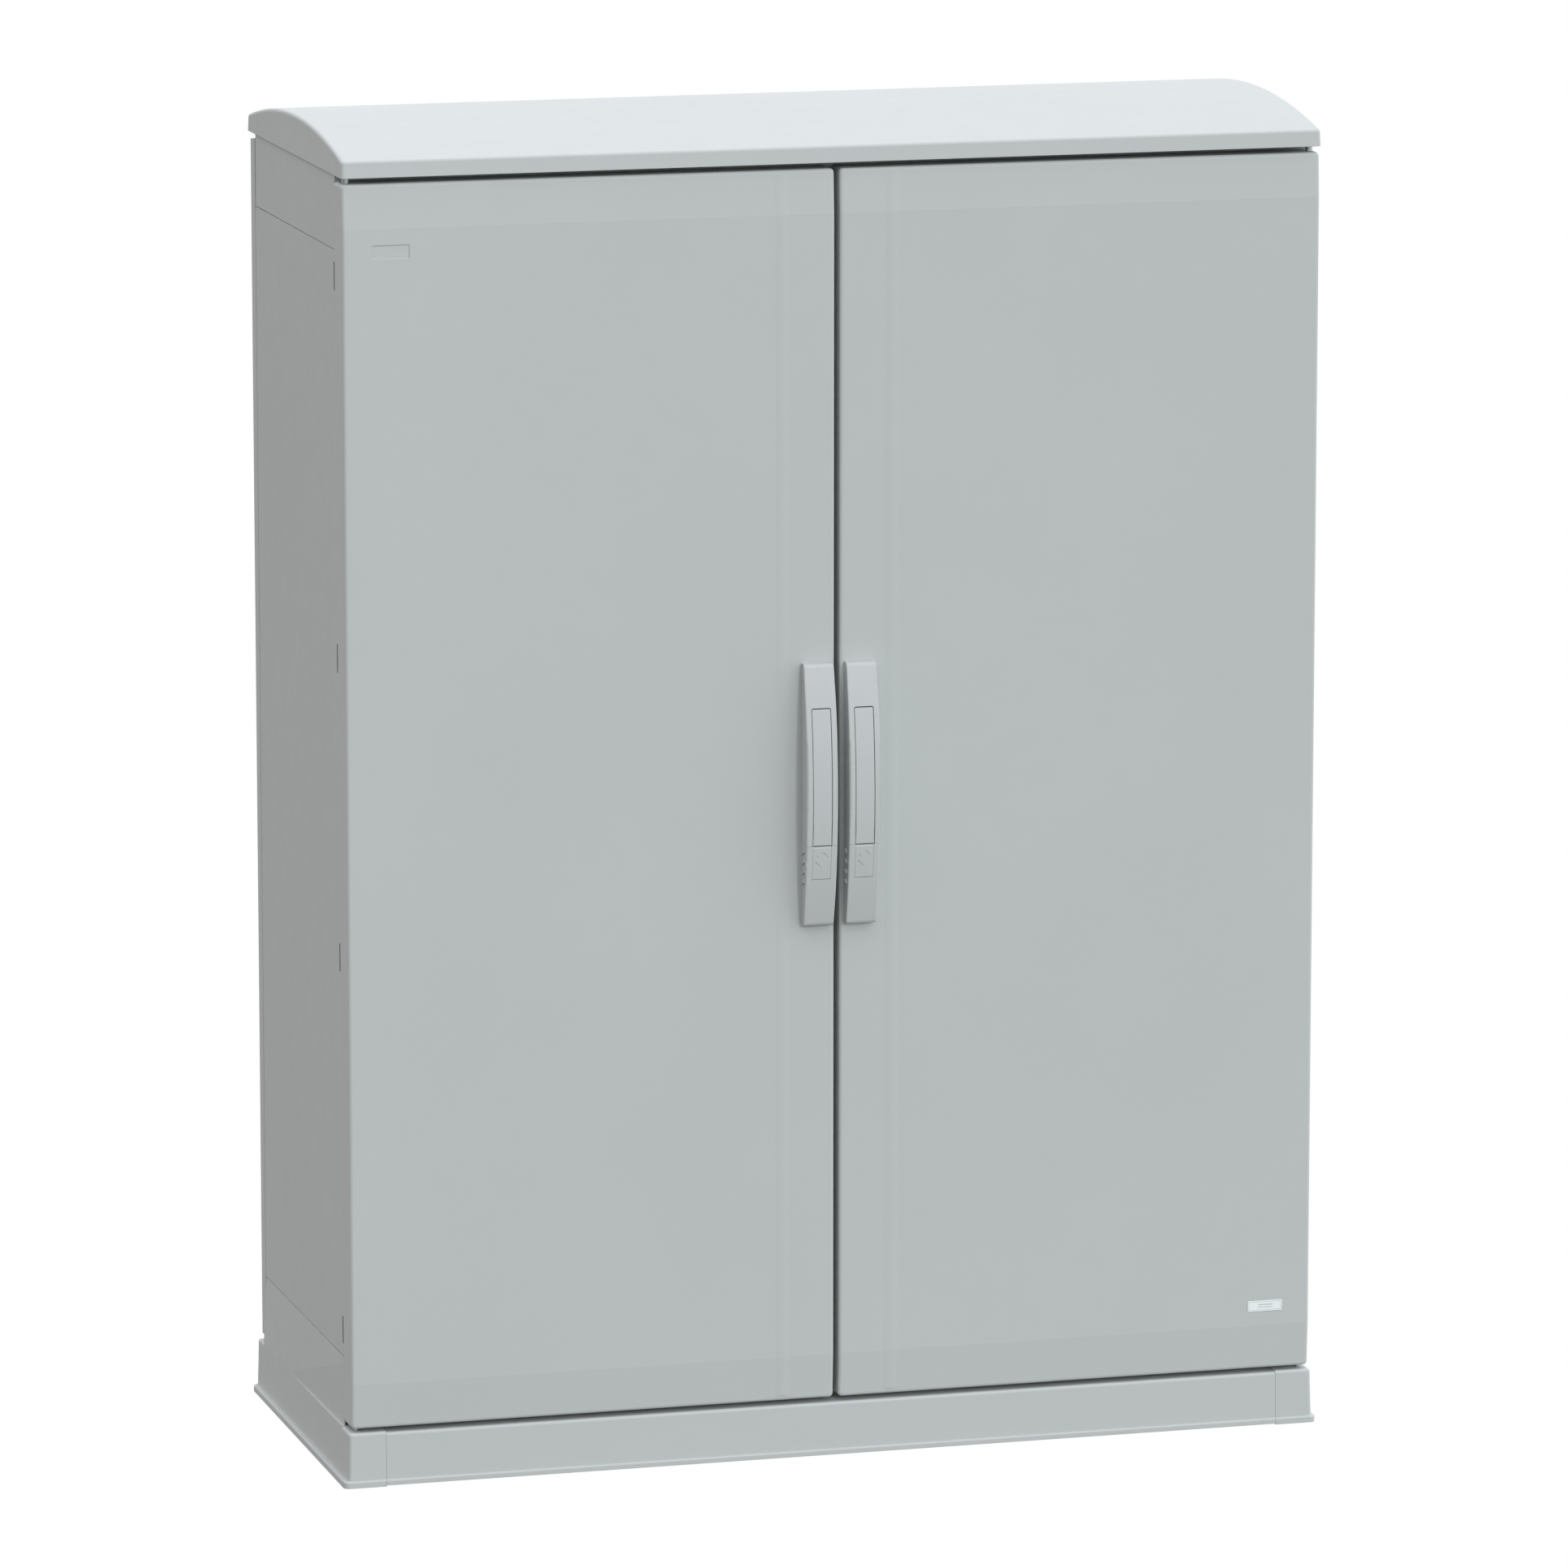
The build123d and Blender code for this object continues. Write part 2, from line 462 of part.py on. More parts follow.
def door_shell(s):
    with BuildPart() as p:
        # section through the door: flat face with bands that slope back at top and bottom
        x_low = min(s * DOOR_GAP_HALF, s * DOOR_HALF)
        with BuildSketch(Plane.YZ.offset(x_low)):
            with BuildLine():
                Polyline(
                    (yd(BAND_SET), DOOR_Z0),
                    (yd(0), DOOR_Z0 + BAND_LOW),
                    (yd(0), DOOR_Z1 - BAND_HIGH),
                    (yd(BAND_SET), DOOR_Z1),
                    (yd(DOOR_T), DOOR_Z1),
                    (yd(DOOR_T), DOOR_Z0),
                    close=True,
                )
            make_face()
            fillet(vertices().filter_by_position(Axis.Y, yd(-0.1), yd(0.1)), 420.0)
        extrude(amount=DOOR_HALF - DOOR_GAP_HALF)
        # rounded corners, then the rounding that runs round the front
        fillet(edges().filter_by(Axis.Y).filter_by(lambda e: e.length > 20), DOOR_CORNER)
        rim = [
            e
            for e in edges()
            if e.center().Y < yd(BAND_SET + 0.6)
            and (
                abs(abs(e.center().X) - DOOR_GAP_HALF) < 2.5
                or abs(abs(e.center().X) - DOOR_HALF) < 2.5
                or abs(e.center().Z - DOOR_Z0) < 2.5
                or abs(e.center().Z - DOOR_Z1) < 2.5
            )
        ]
        fillet(rim, DOOR_RIM)
        # vertical bead, following the face and its bands
        for z, amount, lean in (
            (DOOR_Z0 + BAND_LOW, DOOR_Z1 - BAND_HIGH - DOOR_Z0 - BAND_LOW, 0.0),
            (DOOR_Z1 - BAND_HIGH, BAND_HIGH - 5.0, BAND_SET / BAND_HIGH),
            (DOOR_Z0 + BAND_LOW, -(BAND_LOW - 5.0), BAND_SET / BAND_LOW),
        ):
            with BuildSketch(Plane.XY.offset(z)):
                with BuildLine():
                    ThreePointArc(
                        (s * (BEAD_X - BEAD_HALF), yd(0.02)),
                        (s * BEAD_X, yd(-BEAD_H)),
                        (s * (BEAD_X + BEAD_HALF), yd(0.02)),
                    )
                    Polyline(
                        (s * (BEAD_X - BEAD_HALF), yd(0.02)),
                        (s * (BEAD_X - BEAD_HALF), yd(1.0)),
                        (s * (BEAD_X + BEAD_HALF), yd(1.0)),
                        (s * (BEAD_X + BEAD_HALF), yd(0.02)),
                    )
                make_face()
            extrude(amount=abs(amount), dir=(0, lean, 1 if amount > 0 else -1))
        # hollow
        for d, inset in ((SKIN + BAND_SET, 3.5), (SKIN, BAND_LOW + 1)):
            block(
                s * (DOOR_GAP_HALF + WALL), s * (HALF_W - WALL), yd(d), yd(DOOR_T + 1),
                DOOR_Z0 + inset, DOOR_Z1 - inset, mode=Mode.SUBTRACT,
            )
        # gasket channel: two ribs and the floor between them
        frame_ring(s, RIB_X0, RIB_X1, RIB_Z0, RIB_Z1, 1.6, yd(SKIN - 0.5), yd(30))
        frame_ring(s, 4.0, 480.5, 83.0, 1284.0, 2.0, yd(SKIN - 0.5), yd(30))
        frame_ring(s, 5.0, 479.5, 84.0, 1283.0, 10.5, yd(24), yd(26))
        # stiffening ribs on the skin
        for z in (300.0, 450.0, 850.0, 1050.0):
            block(s * RIB_X0, s * RIB_X1, yd(SKIN - 0.5), yd(12), z - 1.5, z + 1.5)
        # corner blocks that hold the pivot bushes
        for z0, z1 in ((DOOR_Z0 + 2, DOOR_Z0 + 20), (DOOR_Z1 - 20, DOOR_Z1 - 2)):
            block(s * 486, s * 497.4, yd(5), yd(26), z0, z1)
        for z0, z1 in ((DOOR_Z0 - 1, DOOR_Z0 + 16), (DOOR_Z1 - 16, DOOR_Z1 + 1)):
            rod_z(s * HINGE_X, yd(HINGE_D), z0, z1, BUSH_R, mode=Mode.SUBTRACT)
        # slot for the lever's arm, hole for the lock insert and the handle's screws
        block(s * 18.2, s * 25.8, yd(-2), yd(SKIN + 0.5), 728, 769, mode=Mode.SUBTRACT)
        rod_y(s * HANDLE_X, LOCK_Z, yd(-3), yd(SKIN + 1), LOCK_R + 0.1, mode=Mode.SUBTRACT)
        for z in HANDLE_SCREW_Z:
            rod_y(s * HANDLE_SCREW_X, z, yd(-3), yd(SKIN + 1), 2.2, mode=Mode.SUBTRACT)
        if s < 0:
            # shallow recess for an identification strip
            block(-470.6, -433.8, yd(-1), yd(0.6), 1231.4, 1244.9, mode=Mode.SUBTRACT)
        else:
            # seat of the label plate
            block(435.1, 472.1, yd(-1), yd(0.5), 119.4, 131.2, mode=Mode.SUBTRACT)
    return p.part


write(door_shell(-1), "left_door_shell")
write(door_shell(1), "right_door_shell")

with BuildPart() as label_plate:
    block(435.25, 471.95, yd(-0.4), yd(0.5), 119.55, 131.05)
    fillet(edges().filter_by(Axis.Y), 0.6)
write(label_plate.part, "label_plate")


def front_arc_y(z, r=HANDLE_R):
    """Y of the handle's bowed front at height z."""
    yc = yd(-HANDLE_BOW) + HANDLE_R
    return yc - math.sqrt(r * r - (z - HANDLE_ZC) ** 2)


def bowed_sketch(z0, z1, back_y=None, r_back=None):
    """Face in the YZ plane between the bowed front and a flat or concentric back."""
    zm = (z0 + z1) / 2
    with BuildLine(Plane.XY) as outline:
        ThreePointArc((front_arc_y(z0), z0), (front_arc_y(zm), zm), (front_arc_y(z1), z1))
        if r_back is None:
            Polyline((front_arc_y(z1), z1), (back_y, z1), (back_y, z0), (front_arc_y(z0), z0))
        else:
            Line((front_arc_y(z1), z1), (front_arc_y(z1, r_back), z1))
            ThreePointArc(
                (front_arc_y(z1, r_back), z1), (front_arc_y(zm, r_back), zm), (front_arc_y(z0, r_back), z0)
            )
            Line((front_arc_y(z0, r_back), z0), (front_arc_y(z0), z0))
    make_face(outline.edges())


def handle_blank(s):
    """Whole outer body of a handle, with its rounded ends and edges."""
    with BuildPart() as p:
        z0, z1 = HANDLE_ZC - HANDLE_HALF_L, HANDLE_ZC + HANDLE_HALF_L
        with BuildSketch(Plane.YZ.offset(s * HANDLE_X - HANDLE_HALF_W)):
            bowed_sketch(z0, z1, back_y=yd(0))
        extrude(amount=2 * HANDLE_HALF_W)
        ends = [
            e
            for e in edges().filter_by(Axis.X)
            if e.center().Y < yd(-5)
        ]
        fillet(ends, 5.0)
        rim = [
            e
            for x in (s * HANDLE_X - HANDLE_HALF_W, s * HANDLE_X + HANDLE_HALF_W)
            for e in faces().filter_by(Axis.X).filter_by_position(Axis.X, x - 0.01, x + 0.01)[0].edges()
            if not (e.center().Y > yd(-0.1)) and not (abs(e.center().Z - z0) < 0.01 or abs(e.center().Z - z1) < 0.01)
        ]
        fillet(rim, 1.6)
        # flanks drawn in a little towards the door
        for k in (-1, 1):
            with BuildSketch(Plane.XY.offset(z0 - 5)):
                with BuildLine():
                    Polyline(
                        (s * HANDLE_X + k * HANDLE_HALF_W, yd(-22)),
                        (s * HANDLE_X + k * (HANDLE_HALF_W - 1.3), yd(1)),
                        (s * HANDLE_X + k * (HANDLE_HALF_W + 5), yd(1)),
                        (s * HANDLE_X + k * (HANDLE_HALF_W + 5), yd(-22)),
                        close=True,
                    )
                make_face()
            extrude(amount=z1 - z0 + 10, mode=Mode.SUBTRACT)
    return p.part


def handle_housing(s):
    """Upper housing, which holds the lever."""
    with BuildPart() as p:
        add(handle_blank(s))
        block(s * -20, s * 60, yd(-60), yd(5), SPLIT_Z + 0.05, 900, mode=Mode.INTERSECT)
        # pocket of the lever, with rounded top corners
        with BuildSketch(Plane.XZ.offset(-yd(-8))):
            with Locations((s * HANDLE_X, (600 + LEVER_Z1 + 1.1) / 2)):
                RectangleRounded(20.3, LEVER_Z1 + 1.1 - 600, 2.0)
        extrude(amount=60, mode=Mode.SUBTRACT)
        block(s * 18.2, s * 25.8, yd(-20), yd(1), 728, LEVER_Z1 + 0.7, mode=Mode.SUBTRACT)
        rod_x(PIVOT_Y, PIVOT_Z, s * (HANDLE_X - 13.5), s * (HANDLE_X + 13.5), 1.5, mode=Mode.SUBTRACT)
        for z in HANDLE_SCREW_Z[:2]:
            rod_y(s * HANDLE_SCREW_X, z, yd(-6.5), yd(1), 2.0, mode=Mode.SUBTRACT)
    return p.part


def handle_lower_cap(s):
    """Lower housing, with the pocket for the lock and its flap."""
    with BuildPart() as p:
        add(handle_blank(s))
        block(s * -20, s * 60, yd(-60), yd(5), 500, SPLIT_Z - 0.05, mode=Mode.INTERSECT)
        block(s * (HANDLE_X - 9.54), s * (HANDLE_X + 9.54), yd(-60), yd(-12), FLAP_Z0 - 0.4, 640, mode=Mode.SUBTRACT)
        rod_y(s * HANDLE_X, LOCK_Z, yd(-30), yd(1), LOCK_R + 0.06, mode=Mode.SUBTRACT)
        rod_x(FLAP_AXIS_Y, FLAP_AXIS_Z, s * (HANDLE_X - 11.8), s * (HANDLE_X + 11.8), 1.06, mode=Mode.SUBTRACT)
        for z in HANDLE_SCREW_Z[2:]:
            rod_y(s * HANDLE_SCREW_X, z, yd(-7), yd(1), 2.0, mode=Mode.SUBTRACT)
        # grip ticks on both flanks
        for x in (HANDLE_X - HANDLE_HALF_W, HANDLE_X + HANDLE_HALF_W):
            for i in range(4):
                with Locations(Location((s * x, yd(-11.5), 622.5 - 10.2 * i), (35 * s, 0, 0))):
                    Box(2.2, 6.4, 1.5)
    return p.part


def lever(s):
    with BuildPart() as p:
        with BuildSketch(Plane.YZ.offset(s * HANDLE_X - LEVER_HALF_W)):
            bowed_sketch(SPLIT_Z + 0.6, LEVER_Z1, r_back=HANDLE_R - LEVER_T)
        extrude(amount=2 * LEVER_HALF_W)
        corner = edges().filter_by(Axis.X).sort_by(Axis.Z)[-2:].sort_by(Axis.Y)[0]
        fillet(corner, 1.2)
        long_edges = [
            e for e in edges().filter_by(GeomType.CIRCLE) if e.length > 60 and abs(e.center().Y - (front_arc_y(701) + 0.0)) < 3.5
        ]
        fillet(long_edges, 0.8)
        rod_x(PIVOT_Y, PIVOT_Z, s * HANDLE_X - LEVER_HALF_W, s * HANDLE_X + LEVER_HALF_W, 4.3)
        # arm that reaches through the door skin into the lock case
        block(s * (HANDLE_X - 3), s * (HANDLE_X + 3), PIVOT_Y, PIVOT_Y + 30, PIVOT_Z - 3, PIVOT_Z + 3)
        rod_x(PIVOT_Y + 30, PIVOT_Z, s * (HANDLE_X - 3), s * (HANDLE_X + 3), 3.0)
        # catch behind the lever's free end
        block(s * (HANDLE_X - 3), s * (HANDLE_X + 3), front_arc_y(639) + 7, front_arc_y(639) + 13, 636, 642)
        rod_x(PIVOT_Y, PIVOT_Z, s * HANDLE_X - 12, s * HANDLE_X + 12, 1.56, mode=Mode.SUBTRACT)
    return p.part


def lever_pin(s):
    with BuildPart() as p:
        rod_x(PIVOT_Y, PIVOT_Z, s * (HANDLE_X - 13.5), s * (HANDLE_X + 13.5), 1.5)
    return p.part


def lock_flap(s):
    with BuildPart() as p:
        with BuildSketch(Plane.YZ.offset(s * HANDLE_X - FLAP_HALF_W)):
            bowed_sketch(FLAP_Z0, FLAP_AXIS_Z, r_back=HANDLE_R - 2.2)
        extrude(amount=2 * FLAP_HALF_W)
        rod_x(FLAP_AXIS_Y, FLAP_AXIS_Z, s * HANDLE_X - FLAP_HALF_W, s * HANDLE_X + FLAP_HALF_W, 1.9)
        rod_x(FLAP_AXIS_Y, FLAP_AXIS_Z, s * HANDLE_X - 11.4, s * HANDLE_X + 11.4, 1.0)
        # engraved grip strokes; the same way round on both doors
        for dx, dz, length in ((3.6, -9.0, 7.4), (-4.8, -10.6, 2.8), (-2.4, -20.0, 11.6)):
            z = SPLIT_Z - 0.3 + dz
            with Locations(Location((s * HANDLE_X + dx, front_arc_y(z), z), (0, 43, 0))):
                Box(length, 0.8, 0.6, mode=Mode.SUBTRACT)
    return p.part


def lock_insert(s):
    with BuildPart() as p:
        rod_y(s * HANDLE_X, LOCK_Z, yd(-13.5), yd(15), LOCK_R)
        block(s * (HANDLE_X - 4), s * (HANDLE_X + 4), yd(12), yd(15), LOCK_Z - 21, LOCK_Z + 4)
        rod_y(s * HANDLE_X, LOCK_Z, yd(-14), yd(-3), 3.2, mode=Mode.SUBTRACT)
        block(s * HANDLE_X - 4.3, s * HANDLE_X + 4.3, yd(-14), yd(-5), LOCK_Z - 0.8, LOCK_Z + 0.8, mode=Mode.SUBTRACT)
        rod_y(s * HANDLE_X, LOCK_Z, yd(-13), yd(-2.5), 1.4)
    return p.part


def handle_screws(s):
    with BuildPart() as p:
        for i, z in enumerate(HANDLE_SCREW_Z):
            rod_y(s * HANDLE_SCREW_X, z, yd(SKIN), yd(SKIN + 3), 3.8)
            rod_y(s * HANDLE_SCREW_X, z, yd(-6.0), yd(SKIN), 2.0)
    return p.part


def lock_case(s):
    with BuildPart() as p:
        block(s * 19.5, s * 60, yd(SKIN), yd(41), 714, 799)
        block(s * 24, s * 50, yd(41), yd(54), 721, 792)
        fillet(edges().filter_by(Axis.Y).group_by(SortBy.LENGTH)[-1], 3.0)
        block(s * 18, s * 26.2, yd(SKIN - 1), yd(22), 726, 770, mode=Mode.SUBTRACT)
        block(s * (ROD_X0 - 0.4), s * (ROD_X1 + 0.4), yd(ROD_D0 - 0.4), yd(ROD_D1 + 0.4), 700, 810, mode=Mode.SUBTRACT)
    return p.part


def rod_guides(s):
    with BuildPart() as p:
        for z in GUIDE_Z:
            block(s * 26, s * 46, yd(SKIN), yd(53), z - 5, z + 5)
            block(
                s * (ROD_X0 - 0.4), s * (ROD_X1 + 0.4), yd(ROD_D0 - 0.4), yd(ROD_D1 + 0.4), z - 6, z + 6,
                mode=Mode.SUBTRACT,
            )
    return p.part


def lock_rod(s, z0, z1):
    with BuildPart() as p:
        block(s * ROD_X0, s * ROD_X1, yd(ROD_D0), yd(ROD_D1), z0, z1)
        tip = LIP_Z1 if z1 > 1000 else LIP_Z0
        ends = [e for e in edges().filter_by(Axis.Y) if abs(e.center().Z - tip) < 5]
        fillet(ends, 4.0)
    return p.part


def door_gasket(s):
    with BuildPart() as p:
        frame_ring(s, G_X0, G_X1, G_Z0, G_Z1, GASKET_W, yd(26), yd(FRAME_Y - 0.3))
    return p.part


def door_bushes(s):
    with BuildPart() as p:
        for z0, z1 in ((DOOR_Z0 + 1, DOOR_Z0 + 16), (DOOR_Z1 - 16, DOOR_Z1 - 1)):
            rod_z(s * HINGE_X, yd(HINGE_D), z0, z1, BUSH_R)
            rod_z(s * HINGE_X, yd(HINGE_D), z0 - 2, z1 + 2, BUSH_BORE_R, mode=Mode.SUBTRACT)
    return p.part


for side, s in (("left", -1), ("right", 1)):
    write(door_gasket(s), f"{side}_door_gasket")
    write(door_bushes(s), f"{side}_door_bushes")
    write(handle_housing(s), f"{side}_handle_housing")
    write(handle_lower_cap(s), f"{side}_handle_lower_cap")
    write(handle_screws(s), f"{side}_handle_screws")
    write(lock_case(s), f"{side}_lock_case")
    write(rod_guides(s), f"{side}_rod_guides")
    write(lever(s), f"{side}_lever")
    write(lever_pin(s), f"{side}_lever_pin")
    write(lock_flap(s), f"{side}_lock_flap")
    write(lock_insert(s), f"{side}_lock_insert")
    write(lock_rod(s, 775, LIP_Z1 - 1.5), f"{side}_top_rod")
    write(lock_rod(s, LIP_Z0 + 1.5, 730), f"{side}_bottom_rod")
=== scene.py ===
import json
import math

import bmesh
import bpy
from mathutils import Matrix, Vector


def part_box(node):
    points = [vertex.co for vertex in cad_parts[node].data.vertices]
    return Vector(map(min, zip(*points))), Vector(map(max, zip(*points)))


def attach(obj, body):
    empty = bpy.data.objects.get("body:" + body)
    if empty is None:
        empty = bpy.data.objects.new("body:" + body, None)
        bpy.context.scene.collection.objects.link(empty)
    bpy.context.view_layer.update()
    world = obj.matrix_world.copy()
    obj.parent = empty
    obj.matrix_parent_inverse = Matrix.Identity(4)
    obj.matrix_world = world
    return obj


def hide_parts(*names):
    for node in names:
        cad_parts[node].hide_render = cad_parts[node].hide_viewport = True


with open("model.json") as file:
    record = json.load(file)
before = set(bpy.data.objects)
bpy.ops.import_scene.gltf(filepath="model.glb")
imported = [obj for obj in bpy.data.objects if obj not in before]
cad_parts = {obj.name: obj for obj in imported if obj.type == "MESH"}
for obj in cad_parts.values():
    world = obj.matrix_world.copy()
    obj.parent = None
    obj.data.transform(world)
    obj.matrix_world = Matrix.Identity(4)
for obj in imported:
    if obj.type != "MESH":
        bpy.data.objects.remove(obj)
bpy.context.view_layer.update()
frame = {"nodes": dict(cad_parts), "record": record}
nodes = frame["nodes"]
scene = bpy.context.scene
scene.view_settings.view_transform = "Standard"
scene.view_settings.look = "None"


# ------------------------------------------------------------------ node helpers
def new_material(name):
    mat = bpy.data.materials.new(name)
    mat.use_nodes = True
    tree = mat.node_tree
    tree.nodes.clear()
    out = tree.nodes.new("ShaderNodeOutputMaterial")
    shader = tree.nodes.new("ShaderNodeBsdfPrincipled")
    tree.links.new(shader.outputs["BSDF"], out.inputs["Surface"])
    coord = tree.nodes.new("ShaderNodeTexCoord")
    return mat, tree, shader, coord


def noise(tree, coord, scale, detail=3.0, rough=0.5, stretch=None):
    node = tree.nodes.new("ShaderNodeTexNoise")
    node.inputs["Scale"].default_value = scale
    node.inputs["Detail"].default_value = detail
    node.inputs["Roughness"].default_value = rough
    if stretch:
        mapping = tree.nodes.new("ShaderNodeMapping")
        mapping.inputs["Scale"].default_value = stretch
        tree.links.new(coord.outputs["Object"], mapping.inputs["Vector"])
        tree.links.new(mapping.outputs["Vector"], node.inputs["Vector"])
    else:
        tree.links.new(coord.outputs["Object"], node.inputs["Vector"])
    return node.outputs["Fac"]


def math_node(tree, op, a, b=None, c=None, clamp=False):
    node = tree.nodes.new("ShaderNodeMath")
    node.operation = op
    node.use_clamp = clamp
    for i, v in enumerate((a, b, c)):
        if v is None:
            continue
        if isinstance(v, (int, float)):
            node.inputs[i].default_value = v
        else:
            tree.links.new(v, node.inputs[i])
    return node.outputs[0]


def ramp(tree, fac, lo, hi, a, b):
    """Maps fac from lo..hi onto a..b, smoothly."""
    node = tree.nodes.new("ShaderNodeMapRange")
    node.interpolation_type = "SMOOTHSTEP"
    node.inputs["From Min"].default_value = lo
    node.inputs["From Max"].default_value = hi
    node.inputs["To Min"].default_value = a
    node.inputs["To Max"].default_value = b
    tree.links.new(fac, node.inputs["Value"])
    return node.outputs["Result"]


def mix_colour(tree, fac, a, b, blend="MIX"):
    node = tree.nodes.new("ShaderNodeMix")
    node.data_type = "RGBA"
    node.blend_type = blend
    if isinstance(fac, (int, float)):
        node.inputs["Factor"].default_value = fac
    else:
        tree.links.new(fac, node.inputs["Factor"])
    for key, v in (("A", a), ("B", b)):
        sock = [s for s in node.inputs if s.name == key and s.type == "RGBA"][0]
        if isinstance(v, tuple):
            sock.default_value = (*v, 1.0)
        else:
            tree.links.new(v, sock)
    return [s for s in node.outputs if s.type == "RGBA"][0]


def bump(tree, height, strength, distance, normal=None):
    node = tree.nodes.new("ShaderNodeBump")
    node.inputs["Strength"].default_value = strength
    node.inputs["Distance"].default_value = distance
    tree.links.new(height, node.inputs["Height"])
    if normal is not None:
        tree.links.new(normal, node.inputs["Normal"])
    return node.outputs["Normal"]


def worn_edge(tree, radius):
    """Normal rounded over an edge of this radius, and a mask that is 1 on such edges."""
    bevel = tree.nodes.new("ShaderNodeBevel")
    bevel.samples = 4
    bevel.inputs["Radius"].default_value = radius
    geo = tree.nodes.new("ShaderNodeNewGeometry")
    dot = tree.nodes.new("ShaderNodeVectorMath")
    dot.operation = "DOT_PRODUCT"
    tree.links.new(bevel.outputs["Normal"], dot.inputs[0])
    tree.links.new(geo.outputs["Normal"], dot.inputs[1])
    mask = math_node(tree, "MULTIPLY", math_node(tree, "SUBTRACT", 1.0, dot.outputs["Value"]), 5.0, clamp=True)
    return bevel.outputs["Normal"], mask


# ------------------------------------------------------------------ materials
def moulded(name, base, variation=0.012, rough=(0.50, 0.60), grain=900.0, grain_depth=0.00006, specular=0.4, dust=0.010, wear=0.6, wear_radius=0.0007):
    """Moulded plastic: even colour with faint clouding, a fine moulded grain, and slightly polished edges."""
    mat, tree, shader, coord = new_material(name)
    cloud = noise(tree, coord, 3.2, 4.0, 0.55)
    mottle = noise(tree, coord, 34.0, 3.0, 0.6)
    fine = noise(tree, coord, grain, 2.0, 0.6)
    lighter = tuple(min(1.0, c * (1 + variation)) for c in base)
    darker = tuple(c * (1 - variation) for c in base)
    col = mix_colour(tree, ramp(tree, cloud, 0.3, 0.7, 0.0, 1.0), darker, lighter)
    col = mix_colour(tree, ramp(tree, mottle, 0.35, 0.65, 0.0, 0.35), col, tuple(c * (1 - dust) for c in base))
    # handled edges are a touch lighter and smoother, unevenly
    round_normal, edge = worn_edge(tree, wear_radius)
    edge = math_node(tree, "MULTIPLY", edge, ramp(tree, mottle, 0.35, 0.6, 0.25, 1.0), clamp=True)
    col = mix_colour(tree, math_node(tree, "MULTIPLY", edge, wear), col, tuple(min(1.0, c * 1.12) for c in base))
    tree.links.new(col, shader.inputs["Base Color"])
    both = math_node(tree, "MULTIPLY_ADD", mottle, 0.6, math_node(tree, "MULTIPLY", fine, 0.4))
    both = math_node(tree, "SUBTRACT", both, math_node(tree, "MULTIPLY", edge, 0.15))
    tree.links.new(ramp(tree, both, 0.3, 0.7, rough[0], rough[1]), shader.inputs["Roughness"])
    shader.inputs["Specular IOR Level"].default_value = specular
    tree.links.new(bump(tree, fine, 0.35, grain_depth, round_normal), shader.inputs["Normal"])
    return mat


def rubber(name, base):
    mat, tree, shader, coord = new_material(name)
    pores = noise(tree, coord, 1400.0, 3.0, 0.7)
    cloud = noise(tree, coord, 40.0, 3.0, 0.6)
    col = mix_colour(tree, cloud, base, tuple(c * 1.7 for c in base))
    tree.links.new(col, shader.inputs["Base Color"])
    tree.links.new(ramp(tree, cloud, 0.3, 0.7, 0.62, 0.8), shader.inputs["Roughness"])
    tree.links.new(bump(tree, pores, 0.5, 0.0002), shader.inputs["Normal"])
    return mat


def zinc(name, base, spangle=0.0, rough=(0.28, 0.42), brushed=None):
    """Zinc-plated or galvanised steel; spangle sets how much its crystals show."""
    mat, tree, shader, coord = new_material(name)
    cells = tree.nodes.new("ShaderNodeTexVoronoi")
    cells.inputs["Scale"].default_value = 95.0
    tree.links.new(coord.outputs["Object"], cells.inputs["Vector"])
    sep = tree.nodes.new("ShaderNodeSeparateColor")
    tree.links.new(cells.outputs["Color"], sep.inputs["Color"])
    stains = noise(tree, coord, 18.0, 4.0, 0.6)
    fine = noise(tree, coord, 700.0, 2.0, 0.5, brushed)
    lo = tuple(c * (0.93 - 0.14 * spangle) for c in base)
    hi = tuple(min(1.0, c * (1.04 + 0.06 * spangle)) for c in base)
    fac = math_node(tree, "MULTIPLY_ADD", sep.outputs[0], spangle * 0.7 + 0.05, math_node(tree, "MULTIPLY", stains, 0.5), clamp=True)
    tree.links.new(mix_colour(tree, fac, lo, hi), shader.inputs["Base Color"])
    shader.inputs["Metallic"].default_value = 1.0
    tree.links.new(ramp(tree, math_node(tree, "MULTIPLY_ADD", sep.outputs[1], 0.5 * spangle, stains), 0.3, 0.9, rough[0], rough[1]), shader.inputs["Roughness"])
    round_normal, edge = worn_edge(tree, 0.0004)
    tree.links.new(bump(tree, fine, 0.25, 0.00008, round_normal), shader.inputs["Normal"])
    return mat


